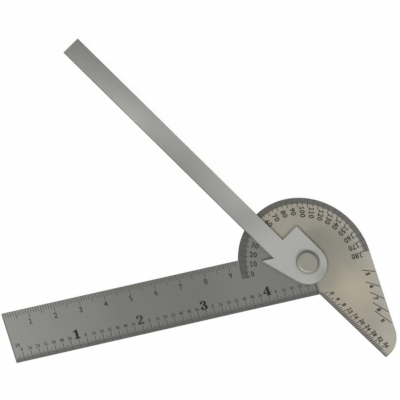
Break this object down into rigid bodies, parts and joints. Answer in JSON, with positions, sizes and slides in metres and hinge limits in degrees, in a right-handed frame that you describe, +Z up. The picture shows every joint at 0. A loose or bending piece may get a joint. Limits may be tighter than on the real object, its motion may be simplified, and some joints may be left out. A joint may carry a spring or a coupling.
{
  "type": "angle gauge",
  "caption": "Flat steel rule that widens into a protractor and a drill point lip, with a swinging arm on a knurled lock nut for reading and setting angles.",
  "frame": {"origin": "where the pivot axis meets the underside of the gauge plate, which is the face that the gauge rests on", "axes": "+Z up, out of the graduated face along the pivot axis; the rule runs from the pivot along -X; +Y across the rule, from its inch edge to its millimetre edge"},
  "size_m": [0.1452, 0.1425, 0.0036],
  "materials": {
    "plate_steel": "satin stainless steel with dark etched graduations",
    "arm_steel": "satin stainless steel, brushed along the arm",
    "stud_steel": "turned stainless steel",
    "washer_steel": "spring steel",
    "nut_steel": "turned face with a straight knurled rim"
  },
  "bodies": {
    "plate": {"gauge_plate": "plate_steel", "pivot_stud": "stud_steel"},
    "arm": {"swing_arm": "arm_steel"},
    "washer": {"spring_washer": "washer_steel"},
    "nut": {"lock_nut": "nut_steel"}
  },
  "joints": [
    {"name": "arm_swing", "type": "hinge", "parent": "plate", "child": "arm", "pos_m": [0, 0, 0.00103], "axis": [0, 0, -1], "continuous": true},
    {"name": "nut_rise", "type": "slide", "parent": "plate", "child": "washer", "axis": [0, 0, 1], "range_m": [0, 0.00025]},
    {"name": "nut_turn", "type": "hinge", "parent": "washer", "child": "nut", "pos_m": [0, 0, 0.0023], "axis": [0, 0, 1], "range_deg": [0, 180]}
  ],
  "couplings": [
    {"joint": "nut_turn", "follows": "nut_rise", "rad_per_m": 12566}
  ]
}
